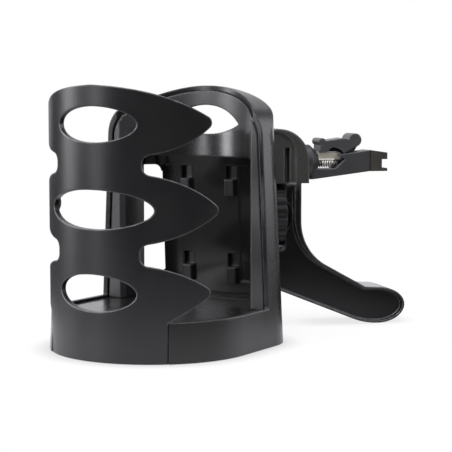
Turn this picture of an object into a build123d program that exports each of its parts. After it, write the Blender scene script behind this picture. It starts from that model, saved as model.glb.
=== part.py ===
"""Car cup holder on a swivelling air-vent clip.

Millimetres, +Z up. The origin is on the cup axis, on the surface the base stands on.
The open front faces -Y. The vent bracket is carried behind the back wall on a ball.
"""

import os
from math import atan2, cos, degrees, radians, sin, tan

from build123d import *

os.makedirs("parts", exist_ok=True)

# Clearances
seam_gap = 0.25  # open line between two mouldings
seat_gap = 0.1  # pieces that lie against each other
turn_gap = 0.08  # turning fits, on the radius
slide_gap = 0.2  # sliding fits, on each side
pass_gap = 0.5  # moving pieces that only pass each other
thread_gap = 0.05  # screw in its hole
reach = 250.0  # length of cuts that run out of the model

# Cup space and walls
well_radius = 41.4
cage_wall = 2.6
body_wall = 2.2
frame_wall = 2.0

# Base and arched back shell
holder_height = 111.3
base_height = 16.5
base_swell = 0.4  # the base stands out past the cage
floor_drop = 1.2
floor_thickness = 2.2
seat_rise = 0.4
seat_margin = 5.0
rib_width = 1.8
foot_boss = 9.0
wall_draft = 5.2  # sides and back lean in by this over the height
back_depth = 8.1  # from the well to the rear face at the base
shell_share = 0.548  # front edge of the shell, as a share of the well's radius
rear_corner = 21.5
arch_rise = 14.5
arch_corner = 14.0

# Inner frame and its window
groove_width = 0.8
groove_depth = 1.6
frame_setback = 0.5
pocket_share = 0.79  # half width of the pocket, as a share of the well's radius
eye_share = 0.488  # half width of the window, likewise
eye_drop = 8.6  # window below the crown
eye_rise = 8.4  # upper bow of the window
eye_sag = 4.5  # lower bow of the window
lintel = 10.0  # concave band between pocket and window

# Back wall
opening_width = 10.0
opening_overlap = 3.0  # openings reach past the pocket into the corner
opening_lift = 7.5  # above the base
opening_margin = 4.2  # below the band
opening_corner = 3.0
frame_trim = 1.4  # the frame's uprights end this far inside the well line
strip_margin = 3.4  # plain wall beside the hooks
strip_depth = 0.8

# Hook pattern
hook_raise = 0.75  # plate above the middle of the openings
hook_shift = -2.2  # hooks below the middle of their plate
hook_pitch_x = 23.5
hook_pitch_z = 39.5
hook_width = 4.6
hook_neck = 3.4
hook_lip = 4.0
hook_thickness = 2.4
wall_slot_side = 0.4
wall_slot_rise = 5.6  # open slot above the hook
plate_border = 6.2
plate_thickness = 3.2
plate_corner = 6.0

# Front cage: points of its edge by the angle from the spine and the share of the height
cage_seam = 41.5
cut_facing = 55.0
finger_tip = 2.6
notch_end = 3.5
top_tip = (69.0, 0.868)
top_edge = (48.0, 0.938)
top_underside = (53.4, 0.794)
upper_notch = (28.6, 0.715)
upper_notch_half = 3.7
middle_tip = (73.0, 0.547)
middle_upperside = (53.4, 0.634)
middle_underside = (50.0, 0.464)
lower_notch = (27.4, 0.392)
lower_notch_half = 4.0
bottom_tip = (68.4, 0.248)
bottom_upperside = (51.0, 0.316)
bottom_underside = (53.4, 0.190)
hole_widths = (0.432, 0.566, 0.425)  # half widths as shares of the cage's radius
hole_heights = (0.0647, 0.0710, 0.0674)  # half heights as shares of the height
hole_levels = (0.858, 0.5526, 0.2507)
lug_angle = 24.0
lug_width = 8.0
lug_reach = 3.0
lug_height = 2.4

# Ball joint and locking ring
rest_swivel = 44.0  # the bracket stands turned to this side
ball_radius = 8.0
ball_flat = 5.0  # the rear of the ball is cut off here
ball_neck = 3.2
neck_length = 8.6
collet_wall = 2.5
collet_lip = 72.0  # half angle of the mouth of the socket
collet_slit = 1.2
collet_depth = 7.0
ring_space = 1.0
ring_length = 12.3
ring_wall = 4.0
ring_flutes = 16
flute_radius = 1.9

# Leg, along the reach of the bracket
leg_width = 21.0
leg_recess = 3.0
leg_rim = 3.2
leg_thin_rim = 1.0
leg_depth = 7.0
leg_nose = 5.8  # foot in front of the ring recess
sweep_drop = 2.6
sweep_radius = 23.7
foot_slope = 29.0
toe_reach = 38.2
toe_slope = 6.5
toe_half_length = 13.1
toe_half_height = 8.45
sole_radius = 34.0
sole_slope = 22.0

# Head of the leg
head_nose = 7.8
head_step = 3.7
head_height = 25.1
head_shoulder = 14.5
head_corner = 3.0
head_recess = 1.0
head_rim = 6.4
head_arch = 11.5
side_slot = 2.4
side_slot_height = 16.5

# Clip barrel and beam
clip_rise = 9.7  # clip axis above the head's lower edge
shank_radius = 5.0
shank_length = 6.5
barrel_radius = 7.8
barrel_nose = 4.5
barrel_rim = 2.7
barrel_length = 6.4
beam_width = 10.4
beam_drop = 7.9
beam_taper = 3.1
beam_floor = 3.4  # cut-out floor below the clip axis
beam_rise = 3.1  # top of the beam above the clip axis at the cut-out
beam_climb = 2.0
cutout_length = 7.9
cutout_point = 4.6
cutout_back = 1.5
cutout_level = 0.8
pivot_set = 3.2
pivot_rise = 2.0
pin_radius = 1.0
cheek_wall = 2.1
cheek_skin = 0.8
channel_run = 6.4
beam_run = 10.6

# Jaw pad
pad_overhang = 0.8
pad_length = 8.2
pad_slope = 1.2
jaw_depth = 2.7
jaw_half = 2.1
jaw_drop = 1.3

# Slider and spring
spring_drop = 1.1
spring_radius = 1.95
spring_wire = 0.5
spring_turns = 8
spring_sides = 4
stub_length = 3.5
slider_rise = 1.1
slider_bar = 3.0
slider_tail = 1.6
slider_travel = 1.8
web_set = 3.5
web_thickness = 1.4
tongue_radius = 1.6

# Lever, from its pivot
knob_reach = 3.0
knob_rise = 7.9
knob_radius = 3.1
knob_side = 30.0  # the bar runs into the knob this far below its middle
lip_reach = 13.2
lip_rise = 7.2
lip_radius = 1.7
bar_bottom = 4.2
bar_top = 8.8
bar_step = 0.5
arch_reach = 10.4
arch_middle = 6.7
arch_crown = 4.5
shoulder_reach = 2.4
shoulder_rise = 1.7
prong_drop = 4.6
prong_width = 2.0
heel_reach = 2.4
heel_drop = 1.2
heel_rise = 2.4

# Clip screw
screw_radius = 1.5
screw_head = 2.9
screw_head_height = 2.0
screw_length = 6.5
screw_slot = 0.8
screw_wall = 2.6
washer_radius = 3.8
washer_thickness = 0.5

# Derived sizes of the holder
cage_radius = well_radius + cage_wall
floor_top = base_height - floor_drop
floor_under = floor_top - floor_thickness
side_bottom = cage_radius + base_swell
back_bottom = well_radius + back_depth
shell_front = shell_share * well_radius
frame_front = shell_front + frame_setback
groove_back = shell_front + groove_depth
pocket_half = pocket_share * well_radius
eye_half = eye_share * well_radius
eye_top = holder_height - eye_drop
eye_level = eye_top - eye_rise
eye_bottom = eye_level - eye_sag
pocket_top = eye_bottom - lintel
opening_outer = pocket_half + opening_overlap
opening_inner = opening_outer - opening_width
opening_bottom = base_height + opening_lift
opening_top = pocket_top - opening_margin
opening_middle = (opening_bottom + opening_top) / 2
frame_cut = well_radius - frame_trim
hook_level = opening_middle + hook_raise
strip_inner = (hook_pitch_x + wall_slot_side) / 2 + strip_margin


def side_at(level):
    """Half width of the holder at a height."""
    return side_bottom - wall_draft * level / holder_height


def back_at(level):
    """Rear face of the holder at a height."""
    return back_bottom - wall_draft * level / holder_height


# Leaning plane of the rear face: x to the right, y up the wall, z to the front
wall_lean = atan2(wall_draft, holder_height)
to_front = Vector(0, -cos(wall_lean), -sin(wall_lean))
rear_face = Plane(origin=(0, back_at(hook_level), hook_level), x_dir=(1, 0, 0), z_dir=to_front)
plate_face = rear_face.offset(-seat_gap)
plate_back = plate_face.offset(-plate_thickness)
panel_middle = opening_middle - hook_level

# Upright plane of the bracket: x along its reach from the ball, y up, z to its right-hand side
ball_center = plate_back.origin - to_front * (neck_length + ball_radius)
ball_level = ball_center.Z
reach_dir = Vector(sin(radians(rest_swivel)), cos(radians(rest_swivel)), 0)
side_dir = Vector(cos(radians(rest_swivel)), -sin(radians(rest_swivel)), 0)
bracket = Plane(origin=(ball_center.X, ball_center.Y, 0), x_dir=reach_dir, z_dir=side_dir)

# Derived places along the bracket
collet_radius = ball_radius + collet_wall
collet_mouth = -ball_radius * cos(radians(collet_lip))
ring_radius = collet_radius + ring_wall
ring_front = ball_radius + ring_space
ring_back = ring_front + ring_length
ring_recess = ring_back + pass_gap
ring_room = ring_radius + pass_gap
leg_front = ring_recess - leg_nose
leg_back = ring_recess + leg_depth
head_front = ring_recess - head_nose
head_back = leg_back + head_step
head_bottom = ball_level + ring_room
head_top = head_bottom + head_height
foot_top = ball_level - ring_room
sweep_level = ball_level - sweep_drop
toe_middle = leg_back + toe_reach
clip_level = head_bottom + clip_rise
shank_end = head_back - shank_length
screw_face = shank_end - screw_wall
barrel_front = head_back + slide_gap
barrel_shoulder = barrel_front + barrel_rim
barrel_end = barrel_front + barrel_length
cutout_end = barrel_end + cutout_length
cutout_floor = clip_level - beam_floor
beam_top = clip_level + beam_rise
web_front = cutout_end + web_set
cutout_top = cutout_end + cutout_back
pivot_reach = web_front + pivot_set
pivot_level = clip_level + pivot_rise
channel_end = pivot_reach + channel_run
beam_tip = pivot_reach + beam_run
beam_tip_bottom = clip_level - beam_drop + beam_taper
beam_tip_top = beam_top + beam_climb
pad_root = beam_tip + seat_gap
pad_tip = beam_tip + pad_length
jaw_root = pad_tip - jaw_depth
spring_level = clip_level - spring_drop
slider_bottom = clip_level + slider_rise
slider_top = slider_bottom + slider_bar
tail_end = barrel_end - slider_tail
channel_half = beam_width / 2 - cheek_wall
lever_half = channel_half - slide_gap
prong_reach = pivot_set - slide_gap
ball_axis = Axis(ball_center, reach_dir)
clip_axis = Axis((ball_center.X, ball_center.Y, clip_level), reach_dir)


def across(distance, level):
    """Plane square to the bracket's reach, x to the left-hand side and y up."""
    return Plane(origin=bracket.from_local_coords((distance, level, 0)), x_dir=side_dir * -1, z_dir=reach_dir)


def holder_plan(level, inset):
    """D-shaped plan at a height: round front, straight sides and round rear corners."""
    half = side_at(level) - inset
    back = back_at(level) - inset
    with BuildSketch(Plane.XY.offset(level)) as plan:
        Circle(half)
        with Locations((0, back / 2)):
            Rectangle(2 * half, back)
        corner = rear_corner - inset - (side_bottom - side_at(level))
        fillet(plan.vertices().group_by(Axis.Y)[-1], radius=corner)
    return plan.sketch


def above_arch(inset):
    """Front view of what lies above the crowned top, down to where its corners meet the sides."""
    shoulder = holder_height - arch_rise - inset
    half = side_at(shoulder) - inset
    foot = side_at(-inset) - inset
    with BuildSketch(Plane.XZ) as front:
        with BuildLine():
            Polyline((-half, shoulder), (-foot, -inset), (foot, -inset), (half, shoulder))
            ThreePointArc((half, shoulder), (0, holder_height - inset), (-half, shoulder))
        make_face()
        fillet(front.vertices().group_by(Axis.Y)[-1], radius=arch_corner - inset)
    with BuildSketch(Plane.XZ) as above:
        with Locations((0, front.vertices().group_by(Axis.Y)[1][0].Y)):
            Rectangle(reach, reach, align=(Align.CENTER, Align.MIN))
        add(front.sketch_local, mode=Mode.SUBTRACT)
    return above.sketch


def holder_block(bottom, inset):
    """The holder's filled outline above a level, inset from its outer faces."""
    with BuildPart() as block:
        extrude(holder_plan(bottom, inset), amount=holder_height - bottom, taper=degrees(wall_lean))
        extrude(above_arch(inset), amount=reach, both=True, mode=Mode.SUBTRACT)
    return block.part


def eye_outline(grow):
    """Front view of the eye-shaped window."""
    with BuildSketch(Plane.XZ) as eye:
        with BuildLine():
            ThreePointArc((-eye_half - grow, eye_level), (0, eye_top + grow), (eye_half + grow, eye_level))
            ThreePointArc((-eye_half - grow, eye_level), (0, eye_bottom - grow), (eye_half + grow, eye_level))
        make_face()
    return eye.sketch


outer_block = holder_block(0, 0)
inner_block = holder_block(floor_top, body_wall)
frame_block = holder_block(floor_top + seat_gap, body_wall + seat_gap)
lip_block = holder_block(floor_top + seat_gap, body_wall + groove_width)
frame_hollow = holder_block(floor_top, body_wall + seat_gap + frame_wall)

# Hollow underside of the base, with a middle boss and crossing ribs left standing
with BuildPart() as underside:
    extrude(holder_plan(0, body_wall), amount=floor_under, taper=degrees(wall_lean))
    Cylinder(foot_boss, reach, mode=Mode.SUBTRACT)
    Box(reach, rib_width, reach, mode=Mode.SUBTRACT)
    Box(rib_width, reach, reach, mode=Mode.SUBTRACT)

# Base, arched shell and back wall
with BuildPart() as holder_body:
    add(outer_block)
    with Locations((0, shell_front, base_height)):
        Box(reach, reach, reach, align=(Align.CENTER, Align.MAX, Align.MIN), mode=Mode.SUBTRACT)
    add(inner_block, mode=Mode.SUBTRACT)
    add(underside.part, mode=Mode.SUBTRACT)
    with Locations((0, 0, base_height)):
        Cylinder(
            well_radius + groove_width,
            reach,
            align=(Align.CENTER, Align.CENTER, Align.MIN),
            mode=Mode.SUBTRACT,
        )
    # Seat of the cage: the front of the base wall is open between the seams
    with BuildSketch():
        half_seat = reach * tan(radians(cage_seam) + seam_gap / cage_radius)
        with BuildLine():
            Polyline((0, 0), (half_seat, -reach), (-half_seat, -reach), close=True)
        make_face()
        Circle(well_radius - seam_gap, mode=Mode.SUBTRACT)
    extrude(amount=reach, mode=Mode.SUBTRACT)
    # Openings beside the middle of the back wall
    with BuildSketch(rear_face):
        with Locations((0, panel_middle)):
            with GridLocations(opening_inner + opening_outer, 1, 2, 1):
                RectangleRounded(opening_width, opening_top - opening_bottom, opening_corner)
    extrude(amount=back_bottom - frame_cut, both=True, mode=Mode.SUBTRACT)
    # Thinner strips between the openings and the middle panel
    with BuildSketch(rear_face.offset(body_wall - strip_depth)):
        with Locations((0, panel_middle)):
            with GridLocations(strip_inner + opening_inner, 1, 2, 1):
                Rectangle(opening_inner - strip_inner, opening_top - opening_bottom)
    extrude(amount=body_wall, mode=Mode.SUBTRACT)
    # Hook slots
    with BuildSketch(rear_face):
        with Locations((0, hook_shift + wall_slot_rise / 2)):
            with GridLocations(hook_pitch_x, hook_pitch_z, 2, 2):
                Rectangle(hook_width + 2 * wall_slot_side, wall_slot_rise + hook_neck + 2 * slide_gap)
    extrude(amount=body_wall, both=True, mode=Mode.SUBTRACT)
    # Round seat of the cup
    with BuildSketch(Plane.XY.offset(floor_top)):
        Circle(well_radius - seat_margin)
    extrude(amount=seat_rise)
    # Window
    extrude(eye_outline(frame_wall / 2), amount=reach, both=True, mode=Mode.SUBTRACT)
holder_body.part.label = "holder_body"
export_step(holder_body.part, "parts/holder_body.step")

# Material that the hollow of the inner frame leaves standing
with BuildPart() as frame_core:
    add(frame_hollow)
    with Locations((0, frame_front + frame_wall, 0)):
        Box(reach, reach, reach, align=(Align.CENTER, Align.MAX, Align.CENTER), mode=Mode.SUBTRACT)
    Cylinder(well_radius + frame_wall, reach, mode=Mode.SUBTRACT)
    with Locations((0, 0, pocket_top + frame_wall)):
        Box(
            2 * (pocket_half + frame_wall),
            reach,
            reach,
            align=(Align.CENTER, Align.CENTER, Align.MAX),
            mode=Mode.SUBTRACT,
        )
    extrude(eye_outline(frame_wall), amount=reach, both=True, mode=Mode.SUBTRACT)

# Front lip of the inner frame, narrower so that a groove shows round it
with BuildPart() as frame_lip:
    add(lip_block)
    with Locations((0, groove_back, 0)):
        Box(reach, reach, reach, align=(Align.CENTER, Align.MIN, Align.CENTER), mode=Mode.SUBTRACT)

# Inner frame with the concave band
with BuildPart() as back_frame:
    add(frame_block)
    with Locations((0, groove_back, 0)):
        Box(reach, reach, reach, align=(Align.CENTER, Align.MAX, Align.CENTER), mode=Mode.SUBTRACT)
    add(frame_lip.part)
    with Locations((0, frame_front, 0)):
        Box(reach, reach, reach, align=(Align.CENTER, Align.MAX, Align.CENTER), mode=Mode.SUBTRACT)
    Cylinder(well_radius, reach, mode=Mode.SUBTRACT)
    with Locations((0, 0, pocket_top)):
        Box(2 * pocket_half, reach, reach, align=(Align.CENTER, Align.CENTER, Align.MAX), mode=Mode.SUBTRACT)
    extrude(eye_outline(0), amount=reach, both=True, mode=Mode.SUBTRACT)
    add(frame_core.part, mode=Mode.SUBTRACT)
    with Locations((0, frame_cut, opening_middle)):
        Box(
            2 * opening_outer,
            reach,
            opening_top - opening_bottom,
            align=(Align.CENTER, Align.MIN, Align.CENTER),
            mode=Mode.SUBTRACT,
        )
back_frame.part.label = "back_frame"
export_step(back_frame.part, "parts/back_frame.step")


def on_edge(angle, share, offset=0.0):
    """Point of the cage's edge in the plane it is cut from."""
    return (cage_radius * sin(radians(angle - cut_facing)), share * holder_height + offset)


facing_dir = Vector(sin(radians(cut_facing)), -cos(radians(cut_facing)), 0)
edge_plane = Plane(
    origin=facing_dir * cage_radius,
    x_dir=(cos(radians(cut_facing)), sin(radians(cut_facing)), 0),
    z_dir=facing_dir,
)

# Everything beyond the fingers of the right-hand half of the cage
with BuildPart() as cage_cut:
    with BuildSketch(edge_plane) as beyond:
        upper_inner = on_edge(*upper_notch, upper_notch_half)
        upper_outer = on_edge(*upper_notch, -upper_notch_half)
        lower_inner = on_edge(*lower_notch, lower_notch_half)
        lower_outer = on_edge(*lower_notch, -lower_notch_half)
        seam_top = on_edge(cage_seam, 0, base_height)
        seam_foot = on_edge(cage_seam, 0, -base_height)
        spine = on_edge(0, 1)
        with BuildLine():
            ThreePointArc(spine, on_edge(*top_edge), on_edge(*top_tip))
            ThreePointArc(on_edge(*top_tip), on_edge(*top_underside), upper_inner)
            Line(upper_inner, upper_outer)
            ThreePointArc(upper_outer, on_edge(*middle_upperside), on_edge(*middle_tip))
            ThreePointArc(on_edge(*middle_tip), on_edge(*middle_underside), lower_inner)
            Line(lower_inner, lower_outer)
            ThreePointArc(lower_outer, on_edge(*bottom_upperside), on_edge(*bottom_tip))
            ThreePointArc(on_edge(*bottom_tip), on_edge(*bottom_underside), seam_top)
            Polyline(
                seam_top,
                seam_foot,
                (2 * cage_radius, -base_height),
                (2 * cage_radius, 2 * holder_height),
                (spine[0], 2 * holder_height),
                spine,
            )
        make_face()
        ends = (upper_inner, upper_outer, lower_inner, lower_outer)
        fillet([beyond.vertices().sort_by_distance(end)[0] for end in ends], radius=notch_end)
        tips = [on_edge(*tip) for tip in (top_tip, middle_tip, bottom_tip)]
        fillet([beyond.vertices().sort_by_distance(tip)[0] for tip in tips], radius=finger_tip)
    extrude(amount=reach, both=True)

# Front cage
with BuildPart() as front_cage:
    with BuildSketch():
        Circle(cage_radius)
        Circle(well_radius, mode=Mode.SUBTRACT)
        Rectangle(reach, reach, align=(Align.MAX, Align.CENTER), mode=Mode.SUBTRACT)
        Rectangle(reach, reach, align=(Align.CENTER, Align.MIN), mode=Mode.SUBTRACT)
    extrude(amount=holder_height)
    add(cage_cut.part, mode=Mode.SUBTRACT)
    with BuildSketch(Plane.XZ):
        for width, height, level in zip(hole_widths, hole_heights, hole_levels):
            with Locations((0, level * holder_height)):
                Ellipse(width * cage_radius, height * holder_height)
    extrude(amount=reach, mode=Mode.SUBTRACT)
    # Lug that snaps under the floor
    with BuildSketch(Plane.XY.offset(floor_under - seat_gap)):
        with PolarLocations(0, 1, start_angle=lug_angle - 90):
            with Locations((well_radius + cage_wall / 2, 0)):
                Rectangle(cage_wall / 2 + lug_reach, lug_width, align=(Align.MAX, Align.CENTER))
    extrude(amount=-lug_height)
    mirror(about=Plane.YZ)
front_cage.part.label = "front_cage"
export_step(front_cage.part, "parts/front_cage.step")

# Plate with four hooks through the back wall, and the ball stud behind it
with BuildPart() as hook_plate:
    with BuildSketch(plate_face):
        RectangleRounded(hook_pitch_x + 2 * plate_border, hook_pitch_z + 2 * plate_border, plate_corner)
    extrude(amount=-plate_thickness)
    with BuildSketch(plate_face):
        with Locations((0, hook_shift)):
            with GridLocations(hook_pitch_x, hook_pitch_z, 2, 2):
                Rectangle(hook_width, hook_neck)
    extrude(amount=seat_gap + body_wall + slide_gap)
    with BuildSketch(rear_face.offset(body_wall + slide_gap)):
        with Locations((0, hook_shift - hook_lip / 2)):
            with GridLocations(hook_pitch_x, hook_pitch_z, 2, 2):
                Rectangle(hook_width, hook_neck + hook_lip)
    extrude(amount=hook_thickness)
    with Locations(ball_center):
        Sphere(ball_radius)
    with BuildSketch(plate_back.offset(-neck_length - ball_radius - ball_flat)):
        Circle(ball_radius)
    extrude(amount=-ball_radius, mode=Mode.SUBTRACT)
    with BuildSketch(plate_back):
        Circle(ball_neck)
    extrude(amount=-neck_length - ball_radius)
hook_plate.part.label = "hook_plate"
export_step(hook_plate.part, "parts/hook_plate.step")

# Points of the leg's outline that follow from its slopes
sweep_turn = 90 - foot_slope
sweep_center = leg_back + sweep_radius
sole_start = toe_middle - sole_radius * sin(radians(sole_slope))
sole_level = sole_radius * (1 - cos(radians(sole_slope)))
toe_start = toe_middle - toe_slope


def on_sweep(turn, inset):
    """Point of the rear sweep of the leg, inset from its edge."""
    radius = sweep_radius + inset
    return (sweep_center - radius * cos(radians(turn)), sweep_level - radius * sin(radians(turn)))


def down_slope(inset, distance):
    """Point of the straight rear edge of the leg at a distance along the reach."""
    start = on_sweep(sweep_turn, inset)
    return (distance, start[1] - (distance - start[0]) * tan(radians(foot_slope)))


def sole_line(inset, distance):
    """Point of the straight lower edge of the leg at a distance along the reach."""
    rise = (sole_start - distance) * tan(radians(sole_slope))
    return (distance, sole_level + rise + inset / cos(radians(sole_slope)))


def toe_curves(inset):
    """Lower bend, round end and rear slope of the toe, inset from its edge."""
    CenterArc((toe_middle, sole_radius), sole_radius - inset, 270, -sole_slope)
    EllipticalCenterArc(
        (toe_middle, toe_half_height),
        toe_half_length - inset,
        toe_half_height - inset,
        -90,
        arc_size=180,
    )
    toe_top = (toe_middle, 2 * toe_half_height - inset)
    Polyline(toe_top, down_slope(inset, toe_start), on_sweep(sweep_turn, inset))


# Side view of the leg
with BuildSketch(bracket) as leg_outline:
    with BuildLine():
        Polyline(
            (leg_back, sweep_level),
            (leg_back, head_bottom),
            (head_back, head_bottom),
            (head_back, head_top),
            (head_front, head_top),
            (head_front, head_bottom),
            (ring_recess, head_bottom),
            (ring_recess, foot_top),
            (leg_front, foot_top),
            sole_line(0, leg_front),
            sole_line(0, sole_start),
        )
        toe_curves(0)
        CenterArc((sweep_center, sweep_level), sweep_radius, 180, sweep_turn)
    make_face()
    fillet(leg_outline.vertices().sort_by_distance((head_back, head_top))[0], radius=head_shoulder)
    fillet(leg_outline.vertices().sort_by_distance((head_front, head_top))[0], radius=head_corner)

# Sunk side face of the leg, inside a rim that thins out towards the toe
hollow_back = leg_back - leg_rim
hollow_top = head_bottom - leg_thin_rim
hollow_step = foot_top - leg_thin_rim
hollow_front = leg_front + leg_thin_rim
hollow_edge = ring_recess - leg_thin_rim
with BuildSketch(bracket) as leg_hollow:
    with BuildLine():
        Polyline(
            (hollow_back, sweep_level),
            (hollow_back, hollow_top),
            (leg_front, hollow_top),
            (leg_front, foot_top + leg_thin_rim),
            (hollow_edge, foot_top + leg_thin_rim),
            (hollow_edge, hollow_step),
            (hollow_front, hollow_step),
            sole_line(leg_thin_rim, hollow_front),
            sole_line(leg_thin_rim, sole_start + leg_thin_rim * sin(radians(sole_slope))),
        )
        toe_curves(leg_thin_rim)
        ThreePointArc(
            on_sweep(sweep_turn, leg_thin_rim),
            on_sweep(sweep_turn / 2, (leg_rim + leg_thin_rim) / 2),
            (hollow_back, sweep_level),
        )
    make_face()

# Sunk side face of the head
with BuildSketch(bracket) as head_hollow:
    with Locations((head_front, head_bottom)):
        Rectangle(
            head_back - head_rim - head_front,
            head_height - leg_thin_rim,
            align=(Align.MIN, Align.MIN),
        )
    arch_point = (head_back - head_rim, head_top - leg_thin_rim)
    fillet(head_hollow.vertices().sort_by_distance(arch_point)[0], radius=head_arch)

# Slot in each side of the head, beside the wall that the clip screw pulls on
with BuildSketch(bracket) as head_slot:
    with Locations((screw_face, head_bottom)):
        Rectangle(side_slot, side_slot_height, align=(Align.MAX, Align.MIN))

# Bracket with the slit collet that grips the ball
with BuildPart() as support_leg:
    extrude(leg_outline.sketch, amount=leg_width / 2, both=True)
    extrude(leg_hollow.sketch, amount=leg_width, both=True, mode=Mode.SUBTRACT)
    extrude(head_hollow.sketch, amount=leg_width, both=True, mode=Mode.SUBTRACT)
    extrude(leg_outline.sketch, amount=leg_width / 2 - leg_recess, both=True)
    extrude(head_hollow.sketch, amount=leg_width / 2 - head_recess, both=True)
    extrude(head_slot.sketch, amount=leg_width, both=True, mode=Mode.SUBTRACT)
    extrude(head_slot.sketch, amount=shank_radius, both=True)
    # Seats of the clip shank and its screw
    with BuildSketch(across(shank_end - seat_gap, clip_level)):
        Circle(shank_radius + turn_gap)
    extrude(amount=reach, mode=Mode.SUBTRACT)
    with BuildSketch(across(screw_face, clip_level)):
        Circle(screw_radius + slide_gap)
    extrude(amount=reach, mode=Mode.SUBTRACT)
    with BuildSketch(across(screw_face, clip_level)):
        Circle(washer_radius + pass_gap)
    extrude(amount=-reach, mode=Mode.SUBTRACT)
    # Collet
    with BuildSketch(bracket):
        with BuildLine():
            Polyline(
                (collet_mouth, ball_level),
                (collet_mouth, ball_level + collet_radius),
                (ring_recess, ball_level + collet_radius),
                (hollow_back, ball_level + ball_radius),
                (hollow_back, ball_level),
                close=True,
            )
        make_face()
    revolve(axis=ball_axis)
    with Locations(ball_center):
        Sphere(ball_radius + turn_gap, mode=Mode.SUBTRACT)
    with BuildSketch(across(collet_mouth, ball_level)):
        Rectangle(leg_width + collet_radius, collet_slit)
        Rectangle(collet_slit, leg_width + collet_radius)
    extrude(amount=collet_depth - collet_mouth, mode=Mode.SUBTRACT)
support_leg.part.label = "support_leg"
export_step(support_leg.part, "parts/support_leg.step")

# Fluted ring that tightens the collet
with BuildPart() as locking_ring:
    with BuildSketch(across(ring_front, ball_level)):
        Circle(ring_radius)
        with PolarLocations(ring_radius + flute_radius / 2, ring_flutes):
            Circle(flute_radius, mode=Mode.SUBTRACT)
        Circle(collet_radius + turn_gap, mode=Mode.SUBTRACT)
    extrude(amount=ring_length)
locking_ring.part.label = "locking_ring"
export_step(locking_ring.part, "parts/locking_ring.step")

# Clip: shank and barrel turned about the clip axis, with the beam beside the slider
with BuildPart() as clip_body:
    with BuildSketch(bracket):
        with BuildLine():
            Polyline(
                (shank_end, clip_level),
                (shank_end, clip_level + shank_radius),
                (barrel_front, clip_level + shank_radius),
                (barrel_front, clip_level + barrel_radius),
                (barrel_shoulder, clip_level + barrel_radius),
                (barrel_end, clip_level + barrel_nose),
                (barrel_end, clip_level),
                close=True,
            )
        make_face()
    revolve(axis=clip_axis)
    beam_bottom = clip_level - beam_drop
    beam_slope = (beam_tip_bottom - beam_bottom) / (beam_tip - barrel_end)
    with BuildSketch(bracket):
        with BuildLine():
            Polyline(
                (barrel_shoulder, beam_bottom + beam_slope * (barrel_shoulder - barrel_end)),
                (beam_tip, beam_tip_bottom),
                (beam_tip, beam_tip_top),
                (cutout_top, beam_top),
                (cutout_end + cutout_point, clip_level + cutout_level),
                (cutout_end, cutout_floor),
                (barrel_shoulder, cutout_floor),
                close=True,
            )
        make_face()
    extrude(amount=beam_width / 2, both=True)
    # Channel for the slider and the lever between two cheeks
    with BuildSketch(bracket):
        with Locations((channel_end, cutout_floor)):
            Rectangle(channel_end - barrel_end, reach, align=(Align.MAX, Align.MIN))
    extrude(amount=channel_half, both=True, mode=Mode.SUBTRACT)
    with BuildSketch(bracket):
        with Locations((pivot_reach, pivot_level)):
            Circle(pin_radius + turn_gap)
    extrude(amount=beam_width / 2 - cheek_skin, both=True, mode=Mode.SUBTRACT)
    # Slot for the tail of the slider, and the guide of its tongue
    with BuildSketch(across(tail_end - slider_travel - pass_gap, slider_bottom + slider_bar / 2)):
        Rectangle(2 * (lever_half + slide_gap), slider_bar + 2 * slide_gap)
    extrude(amount=barrel_length, mode=Mode.SUBTRACT)
    with BuildSketch(across(cutout_end, spring_level)):
        Circle(tongue_radius + slide_gap)
    extrude(amount=reach, mode=Mode.SUBTRACT)
    # Stub inside the spring
    with BuildSketch(across(barrel_end - pass_gap, spring_level)):
        Circle(spring_radius - spring_wire - slide_gap)
    extrude(amount=stub_length)
    # Screw hole in the shank
    with BuildSketch(across(shank_end, clip_level)):
        Circle(screw_radius)
    extrude(amount=screw_length, mode=Mode.SUBTRACT)
clip_body.part.label = "clip_body"
export_step(clip_body.part, "parts/clip_body.step")

# Rubber fork at the tip of the clip
with BuildPart() as jaw_pad:
    with BuildSketch(bracket):
        with BuildLine():
            Polyline(
                (pad_root, beam_tip_bottom),
                (pad_tip, beam_tip_bottom),
                (pad_tip, clip_level - jaw_drop - jaw_half),
                (jaw_root, clip_level - jaw_drop - jaw_half),
                (jaw_root, clip_level - jaw_drop + jaw_half),
                (pad_tip, clip_level - jaw_drop + jaw_half),
                (pad_tip, beam_tip_top - pad_slope),
                (pad_root, beam_tip_top),
                close=True,
            )
        make_face()
    extrude(amount=beam_width / 2 + pad_overhang, both=True)
    with BuildSketch(across(beam_tip, spring_level)):
        Circle(tongue_radius + slide_gap)
    extrude(amount=pad_length, mode=Mode.SUBTRACT)
jaw_pad.part.label = "jaw_pad"
export_step(jaw_pad.part, "parts/jaw_pad.step")

# Slider: bar in the slot, upright web and tongue to the jaw
with BuildPart() as slider:
    with BuildSketch(bracket):
        with Locations((tail_end, slider_bottom)):
            Rectangle(web_front - tail_end, slider_bar, align=(Align.MIN, Align.MIN))
        with Locations((web_front, slider_top)):
            Rectangle(web_thickness, slider_top - cutout_floor - slide_gap, align=(Align.MAX, Align.MAX))
    extrude(amount=lever_half, both=True)
    with BuildSketch(across(web_front, spring_level)):
        Circle(tongue_radius)
    extrude(amount=jaw_root - slide_gap - web_front)
slider.part.label = "slider"
export_step(slider.part, "parts/slider.step")

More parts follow.
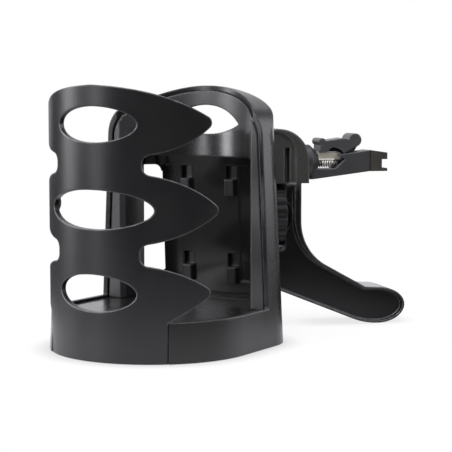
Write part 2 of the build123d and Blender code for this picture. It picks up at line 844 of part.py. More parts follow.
# Coil spring between the barrel and the web of the slider
spring_start = barrel_end + seat_gap + spring_wire / 2
spring_stop = web_front - web_thickness - seat_gap - spring_wire / 2
with BuildPart() as spring:
    with BuildLine() as coil:
        Helix(
            (spring_stop - spring_start) / spring_turns,
            spring_stop - spring_start,
            spring_radius - spring_wire / 2,
            center=bracket.from_local_coords((spring_start, spring_level, 0)),
            direction=reach_dir,
        )
    with BuildSketch(Plane(origin=coil.line @ 0, z_dir=coil.line % 0)):
        RegularPolygon(spring_wire / 2, spring_sides)
    sweep(path=coil.line, is_frenet=True)
spring.part.label = "spring"
export_step(spring.part, "parts/spring.step")


def from_pivot(distance, rise):
    """Point of the bracket plane, measured from the lever's pivot."""
    return (pivot_reach + distance, pivot_level + rise)


# Finger lever: wide bar with lip and knob, and a forked leg in the channel
arch_start = from_pivot(-arch_reach, bar_bottom)
shoulder_point = from_pivot(-shoulder_reach, shoulder_rise)
knob_middle = from_pivot(knob_reach, knob_rise)
knob_edge = from_pivot(
    knob_reach + knob_radius * cos(radians(knob_side)),
    knob_rise - knob_radius * sin(radians(knob_side)),
)
with BuildPart() as lever:
    with BuildSketch(bracket):
        with BuildLine():
            ThreePointArc(arch_start, from_pivot(-arch_middle, arch_crown), shoulder_point)
            Polyline(
                shoulder_point,
                knob_edge,
                knob_middle,
                from_pivot(-shoulder_reach, bar_top),
                from_pivot(lip_radius - lip_reach, lip_rise + bar_step),
                from_pivot(-lip_reach, lip_rise),
                from_pivot(-lip_reach, bar_bottom),
                arch_start,
            )
        make_face()
        with Locations(knob_middle):
            Circle(knob_radius)
        with Locations(from_pivot(-lip_reach, lip_rise)):
            Circle(lip_radius)
    extrude(amount=beam_width / 2, both=True)
    with BuildSketch(bracket):
        with BuildLine():
            Polyline(
                from_pivot(-prong_reach, bar_step),
                from_pivot(-prong_reach, -prong_drop),
                from_pivot(prong_width - prong_reach, -prong_drop),
                from_pivot(heel_reach, -heel_drop),
                from_pivot(pivot_set, heel_rise),
                knob_edge,
                knob_middle,
                shoulder_point,
                close=True,
            )
        make_face()
    extrude(amount=lever_half, both=True)
    with BuildSketch(bracket):
        with Locations(from_pivot(0, pin_radius + pass_gap)):
            Rectangle(2 * lip_reach, 2 * prong_drop, align=(Align.CENTER, Align.MAX))
    extrude(amount=tongue_radius + slide_gap, both=True, mode=Mode.SUBTRACT)
    with BuildSketch(bracket):
        with Locations(from_pivot(0, 0)):
            Circle(pin_radius + turn_gap)
    extrude(amount=beam_width, both=True, mode=Mode.SUBTRACT)
lever.part.label = "lever"
export_step(lever.part, "parts/lever.step")

# Pivot pin of the lever, blind in both cheeks
with BuildPart() as lever_pin:
    with BuildSketch(bracket):
        with Locations(from_pivot(0, 0)):
            Circle(pin_radius)
    extrude(amount=beam_width / 2 - cheek_skin - seat_gap, both=True)
lever_pin.part.label = "lever_pin"
export_step(lever_pin.part, "parts/lever_pin.step")

# Washer and screw that hold the turning clip in the head
with BuildPart() as clip_washer:
    with BuildSketch(across(screw_face - seat_gap, clip_level)):
        Circle(washer_radius)
        Circle(screw_radius + slide_gap, mode=Mode.SUBTRACT)
    extrude(amount=-washer_thickness)
clip_washer.part.label = "clip_washer"
export_step(clip_washer.part, "parts/clip_washer.step")

head_seat = screw_face - 2 * seat_gap - washer_thickness
with BuildPart() as clip_screw:
    with BuildSketch(across(head_seat, clip_level)):
        Circle(screw_head)
    extrude(amount=-screw_head_height)
    with BuildSketch(across(head_seat, clip_level)):
        Circle(screw_radius - thread_gap)
    extrude(amount=shank_end - head_seat + screw_length - pass_gap)
    with BuildSketch(across(head_seat - screw_head_height, clip_level)):
        Rectangle(screw_head, screw_slot)
        Rectangle(screw_slot, screw_head)
    extrude(amount=screw_head_height / 2, mode=Mode.SUBTRACT)
clip_screw.part.label = "clip_screw"
export_step(clip_screw.part, "parts/clip_screw.step")
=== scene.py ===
"""Looks for the car cup holder: procedural materials, a round-wire coil, two pieces of the lever,
a pale floor, soft studio light and the photo's camera.
"""

import math

import bpy
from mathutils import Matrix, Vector


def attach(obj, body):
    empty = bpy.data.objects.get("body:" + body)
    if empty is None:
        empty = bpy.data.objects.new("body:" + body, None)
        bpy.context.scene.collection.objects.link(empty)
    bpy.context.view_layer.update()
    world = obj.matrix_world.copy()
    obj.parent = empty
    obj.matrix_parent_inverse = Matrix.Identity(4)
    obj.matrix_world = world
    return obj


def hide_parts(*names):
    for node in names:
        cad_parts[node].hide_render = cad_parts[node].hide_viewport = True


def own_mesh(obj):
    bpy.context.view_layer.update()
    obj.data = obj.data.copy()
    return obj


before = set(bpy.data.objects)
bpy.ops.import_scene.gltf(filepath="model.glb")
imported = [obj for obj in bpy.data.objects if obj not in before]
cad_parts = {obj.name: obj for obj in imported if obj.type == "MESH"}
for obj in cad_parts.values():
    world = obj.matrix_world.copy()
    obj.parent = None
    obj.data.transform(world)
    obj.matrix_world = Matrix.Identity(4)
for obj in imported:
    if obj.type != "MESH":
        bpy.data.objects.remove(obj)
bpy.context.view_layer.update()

# Camera: angles in degrees, places in metres, lens and sensor in millimetres
CAMERA_AZIMUTH = 31.55
CAMERA_ELEVATION = 5.18
CAMERA_TARGET = (0.02618, 0.01608, 0.05160)
CAMERA_DISTANCE = 0.6202
CAMERA_LENS = 116.1
SENSOR = 36.0

# Directions: up, the way the clip points, along which the slider goes, and across the clip
UP = Vector((0.0, 0.0, 1.0))
CLIP_ANGLE = math.radians(44.0)
TRAVEL = (math.sin(CLIP_ANGLE), math.cos(CLIP_ANGLE), 0.0)
ALONG = Vector(TRAVEL)
ACROSS = ALONG.cross(UP)
MILLIMETRE = 0.001

# Node helpers: usual span of a noise, colour sockets of a mix node, vector operations that give a number
NOISE_SPAN = (0.3, 0.7)
MIX_FIRST = 6
MIX_SECOND = 7
MIX_RESULT = 2
NUMBER_OPERATIONS = ("DOT_PRODUCT", "DISTANCE", "LENGTH")
WHITE = (1.0, 1.0, 1.0, 1.0)

# Edges: samples of the bevel, how the painted edge highlight fades as they turn to face down, as if lit
# from above, and what is left of it there
EDGE_SAMPLES = 6
FACING_SPAN = (-0.35, 0.35)
UNDERSIDE_HIGHLIGHT = 0.35


class Nodes:
    """Short helper round one material's node tree."""

    def __init__(self, name):
        self.material = bpy.data.materials.new(name)
        self.material.use_nodes = True
        self.tree = self.material.node_tree
        self.shader = self.tree.nodes["Principled BSDF"]
        self.coords = self.new("ShaderNodeTexCoord").outputs["Object"]

    def new(self, kind, **settings):
        """New node with some of its settings."""
        node = self.tree.nodes.new(kind)
        for key, value in settings.items():
            setattr(node, key, value)
        return node

    def put(self, socket, value):
        """Links a socket to another one, or sets it to a constant."""
        if isinstance(value, bpy.types.NodeSocket):
            self.tree.links.new(value, socket)
        else:
            socket.default_value = value

    def feed(self, node, **values):
        """Puts values on a node's sockets, which are named with _ for a space."""
        for name, value in values.items():
            self.put(node.inputs[name.replace("_", " ")], value)

    def finish(self, **values):
        """Puts values on the shader's sockets and gives the material back."""
        self.feed(self.shader, **values)
        return self.material

    def noise(self, scale, detail=3.0, roughness=0.55, stretch=None):
        """Noise value in the part's own coordinates, scale in cycles per metre."""
        place = self.coords
        if stretch is not None:
            mapping = self.new("ShaderNodeMapping")
            self.feed(mapping, Vector=place, Scale=stretch)
            place = mapping.outputs["Vector"]
        node = self.new("ShaderNodeTexNoise")
        self.feed(node, Vector=place, Scale=scale, Detail=detail, Roughness=roughness)
        return node.outputs["Fac"]

    def ramp(self, value, low, high, out_low=0.0, out_high=1.0, kind="LINEAR"):
        """Value mapped from one range to another."""
        node = self.new("ShaderNodeMapRange", interpolation_type=kind)
        self.feed(node, Value=value, From_Min=low, From_Max=high, To_Min=out_low, To_Max=out_high)
        return node.outputs["Result"]

    def math(self, operation, first, second):
        """Number from two numbers, each linked or constant."""
        node = self.new("ShaderNodeMath", operation=operation)
        self.put(node.inputs[0], first)
        self.put(node.inputs[1], second)
        return node.outputs[0]

    def times(self, first, second):
        return self.math("MULTIPLY", first, second)

    def plus(self, first, second):
        return self.math("ADD", first, second)

    def minus(self, first, second):
        return self.math("SUBTRACT", first, second)

    def mix(self, factor, first, second):
        """Colour between two colours, each linked or a constant without alpha."""
        node = self.new("ShaderNodeMix", data_type="RGBA")
        self.feed(node, Factor=factor)
        for index, colour in ((MIX_FIRST, first), (MIX_SECOND, second)):
            self.put(node.inputs[index], (*colour, 1.0) if isinstance(colour, tuple) else colour)
        return node.outputs[MIX_RESULT]

    def vector(self, operation, first, second=None):
        """Result of a vector operation on a linked vector and a linked or constant one."""
        node = self.new("ShaderNodeVectorMath", operation=operation)
        self.put(node.inputs[0], first)
        if second is not None:
            self.put(node.inputs[1], second)
        return node.outputs["Value" if operation in NUMBER_OPERATIONS else "Vector"]

    def component(self, vector, axis):
        """One of a vector's components, X, Y or Z."""
        node = self.new("ShaderNodeSeparateXYZ")
        self.feed(node, Vector=vector)
        return node.outputs[axis]

    def above(self, level, fade):
        """1 above a height of the part and 0 below it, with a fade just under it."""
        return self.ramp(self.component(self.coords, "Z"), level - fade, level)

    def between(self, axis, low, high):
        """1 between two places along an axis of the part and 0 outside them."""
        value = self.component(self.coords, axis)
        rise = self.ramp(value, low - ZONE_FADE, low + ZONE_FADE)
        fall = self.ramp(value, high - ZONE_FADE, high + ZONE_FADE, 1.0, 0.0)
        return self.times(rise, fall)

    def zone(self, limits):
        """1 inside a box given by its limits along some axes."""
        inside = None
        for axis, (low, high) in limits.items():
            part = self.between(axis, low, high)
            inside = part if inside is None else self.times(inside, part)
        return inside

    def edges(self, radius, gain):
        """Rounded normal of the edges, and a mask for the painted edge highlight that is 1 on them and
        less where they face down, as painted light from above.
        """
        bevel = self.new("ShaderNodeBevel", samples=EDGE_SAMPLES)
        self.feed(bevel, Radius=radius)
        rounded = bevel.outputs["Normal"]
        plain = self.new("ShaderNodeNewGeometry").outputs["Normal"]
        mask = self.ramp(self.vector("DOT_PRODUCT", rounded, plain), 1.0, 1.0 - gain)
        # Painted light: edges that face down get less of the highlight, as if the light came from above
        upward = self.ramp(self.component(rounded, "Z"), *FACING_SPAN, UNDERSIDE_HIGHLIGHT, 1.0)
        return rounded, self.times(mask, upward)

    def bump(self, height, strength, distance, normal):
        """Normal roughened by a height, distance in metres."""
        node = self.new("ShaderNodeBump")
        self.feed(node, Height=height, Strength=strength, Distance=distance, Normal=normal)
        return node.outputs["Normal"]


# Moulded plastic: noise scales in cycles per metre, grain depth in metres, the rest as shares
MOULD_CLOUD = 38.0
MOULD_GRAIN = 2600.0
# Painted highlight on the edges: scale of the noise that makes it patchy
MOULD_PATCHES = 420.0
MOULD_RIM = 0.22
MOULD_GRAIN_DEPTH = 0.00003
# Painted highlight on the edges: span of its patchy noise, and its patchy and even shares
PATCH_SPAN = (0.45, 0.75)
HIGHLIGHT_PATCHY = 0.6
HIGHLIGHT_EVEN = 0.4
CLOUD_GLOSS = 0.035
GRAIN_GLOSS = 0.03

# Heights at which a finish changes, in metres, and the matte finish of the bracket's head, speckled and
# rougher, with a paler tone that is painted light
BASE_TOP = 0.0163
HEAD_FOOT = 0.068
STEP = 0.0006
FADE = 0.006
SPECKLE_SPAN = (0.4, 0.6)
MATTE_LIT_DARK = (0.032, 0.032, 0.029)
MATTE_LIT_LIGHT = (0.064, 0.064, 0.058)
MATTE_ROUGHER = 0.30

# Smooth places, in metres: the wall behind the well, and the concave band under the window
WALL_BOX = {"X": (-0.0335, 0.0335), "Y": (0.030, 0.060), "Z": (0.0172, 0.0800)}
BAND_BOX = {"X": (-0.0310, 0.0310), "Z": (0.0770, 0.0920)}
ZONE_FADE = 0.0010
POLISH_TONE = (0.0110, 0.0104, 0.0100)
POLISH_SMOOTHER = 0.16
# Share of the painted edge highlight that is left on the smooth places
POLISH_HIGHLIGHT = 0.15


def moulded(
    name,
    dark,
    light,
    edge_highlight,
    rough,
    grain=0.35,
    edge=0.0010,
    sheen=0.5,
    highlight_from=None,
    matte_and_lit_from=None,
    polish=None,
):
    """Moulded plastic: fine grain, cloudy gloss and a painted highlight on its edges.

    The tone is cloudy from dark to light, and turns to edge_highlight on the edges as a painted highlight.
    grain is the strength of the bump, edge the radius of the edges in metres and sheen the specular level.
    Edges below highlight_from get no painted highlight. Above matte_and_lit_from it is speckled and
    rougher, and paler as painted light.
    The box polish is smoother and of one tone, and its edges get less of the painted highlight.
    """
    nodes = Nodes(name)
    cloud = nodes.noise(MOULD_CLOUD, detail=4.0)
    grains = nodes.noise(MOULD_GRAIN, detail=2.0)
    normal, rim = nodes.edges(edge, MOULD_RIM)
    patches = nodes.ramp(nodes.noise(MOULD_PATCHES, detail=5.0, roughness=0.7), *PATCH_SPAN)
    # Painted highlight on the edges, patchy in places
    highlight_share = nodes.times(rim, nodes.plus(nodes.times(patches, HIGHLIGHT_PATCHY), HIGHLIGHT_EVEN))
    if highlight_from is not None:
        highlight_share = nodes.times(highlight_share, nodes.above(highlight_from, STEP))
    tone = nodes.mix(nodes.ramp(cloud, *NOISE_SPAN), dark, light)
    gloss = nodes.ramp(cloud, *NOISE_SPAN, rough - CLOUD_GLOSS, rough + CLOUD_GLOSS)
    if matte_and_lit_from is not None:
        # Matte speckled head, made paler as painted light
        matte_and_lit = nodes.above(matte_and_lit_from, FADE)
        speckle = nodes.mix(nodes.ramp(grains, *SPECKLE_SPAN), MATTE_LIT_DARK, MATTE_LIT_LIGHT)
        tone = nodes.mix(matte_and_lit, tone, speckle)
        gloss = nodes.plus(gloss, nodes.times(matte_and_lit, MATTE_ROUGHER))
    if polish is not None:
        smooth = nodes.zone(polish)
        tone = nodes.mix(smooth, tone, POLISH_TONE)
        gloss = nodes.minus(gloss, nodes.times(smooth, POLISH_SMOOTHER))
        highlight_share = nodes.times(highlight_share, nodes.ramp(smooth, 0.0, 1.0, 1.0, POLISH_HIGHLIGHT))
    unevenness = nodes.times(nodes.ramp(grains, *NOISE_SPAN, -1.0, 1.0), GRAIN_GLOSS)
    return nodes.finish(
        Base_Color=nodes.mix(highlight_share, tone, edge_highlight),
        Roughness=nodes.plus(gloss, unevenness),
        Normal=nodes.bump(grains, grain, MOULD_GRAIN_DEPTH, normal),
        Specular_IOR_Level=sheen,
    )


# Plating: noise scales in cycles per metre, lengths in metres, the rest as shares
PLATE_DRAWN = 900.0
PLATE_STRETCH = (1.0, 1.0, 8.0)
PLATE_CLOUD = 160.0
PLATE_EDGE = 0.0003
PLATE_RIM = 0.4
# Share of the painted highlight on the edges
PLATE_HIGHLIGHT = 0.4
DRAWN_SPAN = (0.25, 0.75)
DRAWN_SMOOTHER = 0.05
DRAWN_ROUGHER = 0.08
DRAWN_STRENGTH = 0.2
DRAWN_DEPTH = 0.00002
# Tone of the painted shade on plating
SHADE_TONE = (0.045, 0.036, 0.026)

# Underside of the slider's bar, in metres
BAR_BOTTOM = 0.0772


def plated(name, dark, light, rough, shaded_by=None):
    """Bright plating: drawn along one way, cloudy tone, a painted highlight on its edges and painted shade
    where a mask gives it.
    """
    nodes = Nodes(name)
    drawn = nodes.noise(PLATE_DRAWN, detail=3.0, stretch=PLATE_STRETCH)
    cloud = nodes.noise(PLATE_CLOUD, detail=4.0)
    normal, rim = nodes.edges(PLATE_EDGE, PLATE_RIM)
    tone = nodes.mix(nodes.ramp(cloud, *NOISE_SPAN), dark, light)
    # Painted highlight on the edges
    tone = nodes.mix(nodes.times(rim, PLATE_HIGHLIGHT), tone, light)
    # Painted shade where the given mask is 1
    if shaded_by is not None:
        tone = nodes.mix(shaded_by(nodes), tone, SHADE_TONE)
    return nodes.finish(
        Base_Color=tone,
        Metallic=1.0,
        Roughness=nodes.ramp(drawn, *DRAWN_SPAN, rough - DRAWN_SMOOTHER, rough + DRAWN_ROUGHER),
        Normal=nodes.bump(drawn, DRAWN_STRENGTH, DRAWN_DEPTH, normal),
    )


def under_bar(nodes):
    """1 on the slider's web, below its bar, where painted shade goes."""
    height = nodes.component(nodes.coords, "Z")
    return nodes.ramp(height, BAR_BOTTOM - STEP, BAR_BOTTOM, 1.0, 0.0)


# Rubber: noise scales in cycles per metre, lengths in metres, the rest as shares
RUBBER_CLOUD = 220.0
RUBBER_GRAIN = 3200.0
RUBBER_EDGE = 0.0005
RUBBER_RIM = 0.4
RUBBER_ROUGH = (0.55, 0.72)
RUBBER_GRAIN_STRENGTH = 0.4
RUBBER_GRAIN_DEPTH = 0.00004
RUBBER_SHEEN = 0.4
# Colour and share of the dusty bloom and painted highlight on the edges
BLOOM_AND_HIGHLIGHT = (0.16, 0.15, 0.11)
BLOOM_AND_HIGHLIGHT_SHARE = 0.35


def rubbery(name, dark, light):
    """Soft rubber: matte, with a dusty bloom and a painted highlight on its edges."""
    nodes = Nodes(name)
    cloud = nodes.noise(RUBBER_CLOUD, detail=5.0)
    grains = nodes.noise(RUBBER_GRAIN, detail=2.0)
    normal, rim = nodes.edges(RUBBER_EDGE, RUBBER_RIM)
    tone = nodes.mix(nodes.ramp(cloud, *NOISE_SPAN), dark, light)
    return nodes.finish(
        Base_Color=nodes.mix(nodes.times(rim, BLOOM_AND_HIGHLIGHT_SHARE), tone, BLOOM_AND_HIGHLIGHT),
        Roughness=nodes.ramp(cloud, *NOISE_SPAN, *RUBBER_ROUGH),
        Normal=nodes.bump(grains, RUBBER_GRAIN_STRENGTH, RUBBER_GRAIN_DEPTH, normal),
        Specular_IOR_Level=RUBBER_SHEEN,
    )


satin = moulded(
    "satin_black",
    dark=(0.007, 0.007, 0.0078),
    light=(0.011, 0.011, 0.0115),
    edge_highlight=(0.50, 0.50, 0.51),
    rough=0.36,
    highlight_from=BASE_TOP,
)
shell = moulded(
    "shell_black",
    dark=(0.007, 0.0068, 0.0068),
    light=(0.011, 0.0105, 0.0105),
    edge_highlight=(0.22, 0.22, 0.22),
    rough=0.28,
    grain=0.18,
    highlight_from=BASE_TOP,
    polish=WALL_BOX,
)
band = moulded(
    "band_black",
    dark=(0.020, 0.020, 0.0205),
    light=(0.027, 0.027, 0.0275),
    edge_highlight=(0.08, 0.08, 0.08),
    rough=0.40,
    grain=0.12,
    sheen=0.9,
    polish=BAND_BOX,
)
hooks = moulded(
    "hook_black",
    dark=(0.014, 0.014, 0.0145),
    light=(0.020, 0.020, 0.0205),
    edge_highlight=(0.10, 0.10, 0.10),
    rough=0.30,
)
bracket = moulded(
    "bracket_black",
    dark=(0.0045, 0.0045, 0.005),
    light=(0.008, 0.008, 0.0085),
    edge_highlight=(0.40, 0.40, 0.40),
    rough=0.18,
    edge=0.0016,
    sheen=0.3,
    matte_and_lit_from=HEAD_FOOT,
)
ring = moulded(
    "ring_black",
    dark=(0.006, 0.006, 0.0064),
    light=(0.010, 0.010, 0.0104),
    edge_highlight=(0.07, 0.07, 0.07),
    rough=0.38,
    sheen=0.3,
)
clip = moulded(
    "clip_black",
    dark=(0.042, 0.042, 0.0435),
    light=(0.062, 0.062, 0.064),
    edge_highlight=(0.20, 0.20, 0.20),
    rough=0.40,
)
lever = moulded(
    "lever_black",
    dark=(0.056, 0.055, 0.058),
    light=(0.080, 0.078, 0.082),
    edge_highlight=(0.40, 0.40, 0.40),
    rough=0.40,
)
nickel = plated("nickel", dark=(0.90, 0.82, 0.68), light=(0.97, 0.92, 0.82), rough=0.48, shaded_by=under_bar)
steel = plated("steel", dark=(0.42, 0.42, 0.43), light=(0.58, 0.58, 0.59), rough=0.30)
rubber = rubbery("rubber", dark=(0.036, 0.035, 0.028), light=(0.054, 0.052, 0.042))

FINISH = {
    "holder_body": shell,
    "back_frame": band,
    "front_cage": satin,
    "hook_plate": hooks,
    "support_leg": bracket,
    "locking_ring": ring,
    "clip_body": clip,
    "jaw_pad": rubber,
    "slider": nickel,
    "spring": nickel,
    "lever": lever,
    "lever_pin": steel,
    "clip_screw": steel,
    "clip_washer": steel,
}
for node, material in FINISH.items():
    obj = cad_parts[node]
    obj.data.materials.clear()
    obj.data.materials.append(material)


def add_piece(name, points, faces, smooth=False):
    """New mesh object from points and faces."""
    mesh = bpy.data.meshes.new(name)
    mesh.from_pydata(points, [], faces)
    mesh.update()
    if smooth:
        mesh.polygons.foreach_set("use_smooth", [True] * len(mesh.polygons))
    piece = bpy.data.objects.new(name, mesh)
    bpy.context.collection.objects.link(piece)
    return piece


# Coil spring with round wire, in the place of the plain one:
# lengths in metres, and the span over which the painted shade on the inner side of the wire fades out
COIL_TURNS = 8
COIL_STEPS = 40
WIRE_RADIUS = 0.00025
WIRE_SIDES = 12
INNER_SPAN = (-0.1, 0.5)


def add_coil(name, start, stop, across, radius):
    """Helix of round wire between two points, across is a unit vector square to it."""
    along = (stop - start).normalized()
    up = along.cross(across)
    steps = COIL_TURNS * COIL_STEPS
    points = []
    faces = []
    for step in range(steps + 1):
        turn = 2 * math.pi * COIL_TURNS * step / steps
        outward = across * math.cos(turn) + up * math.sin(turn)
        centre = start.lerp(stop, step / steps) + outward * radius
        for side in range(WIRE_SIDES):
            around = 2 * math.pi * side / WIRE_SIDES
            points.append(centre + (outward * math.cos(around) + along * math.sin(around)) * WIRE_RADIUS)
    for step in range(steps):
        for side in range(WIRE_SIDES):
            here = step * WIRE_SIDES + side
            beside = step * WIRE_SIDES + (side + 1) % WIRE_SIDES
            faces.append((here, beside, beside + WIRE_SIDES, here + WIRE_SIDES))
    faces.append(tuple(reversed(range(WIRE_SIDES))))
    faces.append(tuple(range(steps * WIRE_SIDES, (steps + 1) * WIRE_SIDES)))
    return add_piece(name, points, faces, smooth=True)


def halfway(values):
    """Value halfway between the least and the greatest."""
    return (min(values) + max(values)) / 2


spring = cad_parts["spring"]
spring_points = [spring.matrix_world @ vertex.co for vertex in spring.data.vertices]
ends = [point.dot(ALONG) for point in spring_points]
sides = [point.dot(ACROSS) for point in spring_points]
levels = [point.z for point in spring_points]
coil_middle = ACROSS * halfway(sides) + UP * halfway(levels)
coil_start = coil_middle + ALONG * (min(ends) + WIRE_RADIUS)
coil_stop = coil_middle + ALONG * (max(ends) - WIRE_RADIUS)
coil_radius = (max(sides) - min(sides)) / 2 - WIRE_RADIUS


def inside_coil(nodes):
    """1 on the side of the wire that faces the coil's axis, where painted shade goes."""
    place = nodes.vector("SUBTRACT", nodes.coords, tuple(coil_start))
    lengthwise = nodes.vector("PROJECT", place, TRAVEL)
    outward = nodes.vector("NORMALIZE", nodes.vector("SUBTRACT", place, lengthwise))
    own_normal = nodes.new("ShaderNodeTexCoord").outputs["Normal"]
    return nodes.ramp(nodes.vector("DOT_PRODUCT", outward, own_normal), *INNER_SPAN, 1.0, 0.0)


coil_nickel = plated(
    "coil_nickel",
    dark=(0.92, 0.85, 0.72),
    light=(0.98, 0.94, 0.86),
    rough=0.40,
    # Painted shade on the inner side of the wire
    shaded_by=inside_coil,
)
coil = add_coil("coil", coil_start, coil_stop, ACROSS, coil_radius)
coil.data.materials.append(coil_nickel)
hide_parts("spring")
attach(coil, "clip")
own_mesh(coil)

# Lower part of the lever's arm, close over the slider's bar, and a web in its hollow with the darker ring
# finish as painted shade:
# pivot and half widths in metres, outlines in millimetres along the clip and up from the pivot
PIVOT = Vector((0.0373032, 0.1056451, 0.0781787))
ARM_HALF = 0.00518
WEB_HALF = 0.0026
ARM_OUTLINE = ((-12.8, 6.0), (-14.0, 6.0), (-14.2, 2.4), (-10.4, 2.4), (-9.6, 3.5), (-8.4, 4.6))
WEB_OUTLINE = ((-10.8, 4.4), (-10.8, 2.4), (-3.5, 2.4), (-3.5, 2.9), (-6.4, 4.8))


def add_prism(name, outline, half, material):
    """Piece of the lever with the same outline all the way across the clip."""
    flat = [PIVOT + ALONG * (x * MILLIMETRE) + UP * (z * MILLIMETRE) for x, z in outline]
    count = len(flat)
    points = [point + ACROSS * half for point in flat] + [point - ACROSS * half for point in flat]
    faces = [tuple(range(count)), tuple(reversed(range(count, 2 * count)))]
    for corner in range(count):
        following = (corner + 1) % count
        faces.append((corner, corner + count, following + count, following))
    piece = add_piece(name, points, faces)
    piece.data.materials.append(material)
    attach(piece, "lever")


add_prism("lever_arm", ARM_OUTLINE, ARM_HALF, lever)
# The web takes the darker ring finish as painted shade in the hollow
add_prism("lever_web", WEB_OUTLINE, WEB_HALF, ring)

# Floor: paper that is white to the camera and keeps a soft shadow near the object. Lengths are in metres.
# GLOW is the share of plain white, less round SHADOW_MIDDLE. REFLECTED is the tone for all other rays,
# bright near the cup axis and dim far from it, a painted pool of light round the object.
FLOOR_SIZE = 8.0
FLOOR_DROP = 0.0002
SHADOW_MIDDLE = (0.02, 0.03, 0.0)
GLOW_SPAN = (0.10, 0.30)
GLOW_LEAST = 0.86
REFLECTED_SPAN = (0.09, 0.18)
REFLECTED_NEAR = (0.90, 0.90, 0.90)
REFLECTED_FAR = (0.10, 0.10, 0.10)
FIBRE_SCALE = 900.0
FIBRE_STRENGTH = 0.05
FIBRE_DEPTH = 0.00002
PAPER_DARK = (0.90, 0.90, 0.90)
PAPER_LIGHT = (0.96, 0.96, 0.96)
PAPER_ROUGH = (0.88, 0.96)
PAPER_SHEEN = 0.1

# Contact shadow under the rim of the base: it eases over CONTACT_REACH, measured from the cup axis
CONTACT_SAMPLES = 16
CONTACT_DISTANCE = 0.012
CONTACT_SPAN = (0.45, 1.0)
CONTACT_DARKEST = 0.32
CONTACT_REACH = (0.055, 0.080)
CONTACT_OUTSIDE = 0.3

bpy.ops.mesh.primitive_plane_add(size=FLOOR_SIZE, location=(0, 0, -FLOOR_DROP))
floor = bpy.context.object
floor.name = "floor"
paper = Nodes("paper")
fibre = paper.noise(FIBRE_SCALE, detail=4.0)
from_shadow = paper.vector("DISTANCE", paper.coords, SHADOW_MIDDLE)
from_axis = paper.vector("LENGTH", paper.coords)
seen = paper.new("ShaderNodeLightPath").outputs["Is Camera Ray"]
# Painted pool of light that other rays see round the object
near = paper.ramp(from_axis, *REFLECTED_SPAN, 1.0, 0.0, kind="SMOOTHSTEP")
reflected = paper.mix(near, REFLECTED_FAR, REFLECTED_NEAR)
plain_normal = paper.new("ShaderNodeNewGeometry").outputs["Normal"]
paper.finish(
    Base_Color=paper.mix(seen, reflected, paper.mix(fibre, PAPER_DARK, PAPER_LIGHT)),
    Roughness=paper.ramp(fibre, *NOISE_SPAN, *PAPER_ROUGH),
    Normal=paper.bump(fibre, FIBRE_STRENGTH, FIBRE_DEPTH, plain_normal),
    Specular_IOR_Level=PAPER_SHEEN,
)
contact = paper.new("ShaderNodeAmbientOcclusion", samples=CONTACT_SAMPLES)
paper.feed(contact, Distance=CONTACT_DISTANCE)
dimmed = paper.times(
    paper.ramp(contact.outputs["AO"], *CONTACT_SPAN, CONTACT_DARKEST, 0.0),
    paper.ramp(from_axis, *CONTACT_REACH, 1.0, CONTACT_OUTSIDE),
)
glow = paper.new("ShaderNodeEmission")
paper.feed(glow, Color=WHITE, Strength=paper.minus(1.0, dimmed))
glow_share = paper.ramp(from_shadow, *GLOW_SPAN, GLOW_LEAST, 1.0, kind="SMOOTHSTEP")
blend = paper.new("ShaderNodeMixShader")
paper.put(blend.inputs["Fac"], paper.times(seen, glow_share))
paper.put(blend.inputs[1], paper.shader.outputs["BSDF"])
paper.put(blend.inputs[2], glow.outputs["Emission"])
paper.put(paper.tree.nodes["Material Output"].inputs["Surface"], blend.outputs["Shader"])
floor.data.materials.append(paper.material)

# World: white to the camera, dim as light
WORLD_AS_LIGHT = 0.13
WORLD_SEEN = 1.0
world = bpy.data.worlds.new("studio")
bpy.context.scene.world = world
world.use_nodes = True
tree = world.node_tree
background = tree.nodes["Background"]
background.inputs["Color"].default_value = WHITE
path = tree.nodes.new("ShaderNodeLightPath")
level = tree.nodes.new("ShaderNodeMix")
level.inputs["A"].default_value = WORLD_AS_LIGHT
level.inputs["B"].default_value = WORLD_SEEN
tree.links.new(path.outputs["Is Camera Ray"], level.inputs["Factor"])
tree.links.new(level.outputs["Result"], background.inputs["Strength"])

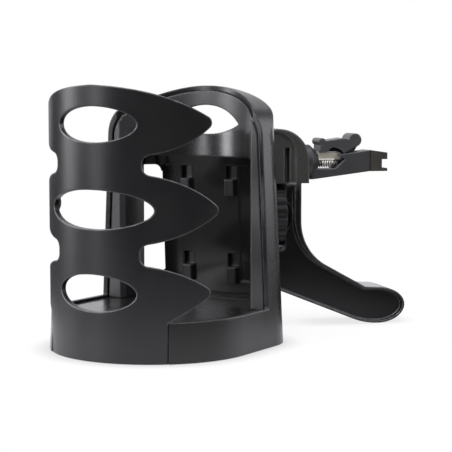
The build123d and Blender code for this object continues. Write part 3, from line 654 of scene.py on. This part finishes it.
# Lamps: their tint, the place they face, and for each one its name, azimuth and elevation in degrees,
# distance, width and height in metres and power in watts
LAMP_TINT = (0.95, 0.95, 1.0)
LAMP_AIM = Vector((0.01, 0.03, 0.05))
LAMPS = (
    ("left_strip", -66.0, 12.0, 1.1, 0.30, 1.2, 9.0),
    ("front_strip", -29.0, 12.0, 1.2, 0.22, 1.2, 6.0),
    ("top_panel", 20.0, 80.0, 1.1, 1.0, 1.0, 10.0),
    ("right_panel", 140.0, 18.0, 1.2, 0.9, 0.9, 5.0),
    ("side_panel", 88.0, 34.0, 1.2, 0.6, 0.6, 1.6),
    ("overhead", 12.0, 48.0, 1.2, 0.9, 0.5, 6.5),
    ("back_panel", 211.0, 10.0, 1.6, 2.4, 1.2, 10.0),
)


def direction(azimuth, elevation):
    """Unit vector outward from the object, by angles in degrees: azimuth 0 is -Y and 90 is +X."""
    turn = math.radians(azimuth)
    rise = math.radians(elevation)
    return Vector((math.sin(turn) * math.cos(rise), -math.cos(turn) * math.cos(rise), math.sin(rise)))


def look_at(obj, target, outward, distance):
    """Places a lamp or camera outward from a target and turns it to face it."""
    obj.location = target + outward * distance
    obj.rotation_mode = "QUATERNION"
    obj.rotation_quaternion = (-outward).to_track_quat("-Z", "Y")


for name, azimuth, elevation, distance, width, height, watts in LAMPS:
    lamp = bpy.data.lights.new(name, "AREA")
    lamp.shape = "RECTANGLE"
    lamp.size = width
    lamp.size_y = height
    lamp.energy = watts
    lamp.color = LAMP_TINT
    softbox = bpy.data.objects.new(name, lamp)
    bpy.context.collection.objects.link(softbox)
    look_at(softbox, LAMP_AIM, direction(azimuth, elevation), distance)
    softbox.visible_camera = False

lens = bpy.data.cameras.new("camera")
lens.sensor_width = SENSOR
lens.lens = CAMERA_LENS
camera = bpy.data.objects.new("camera", lens)
bpy.context.collection.objects.link(camera)
look_at(camera, Vector(CAMERA_TARGET), direction(CAMERA_AZIMUTH, CAMERA_ELEVATION), CAMERA_DISTANCE)
bpy.context.scene.camera = camera
bpy.context.scene.view_settings.view_transform = "Standard"
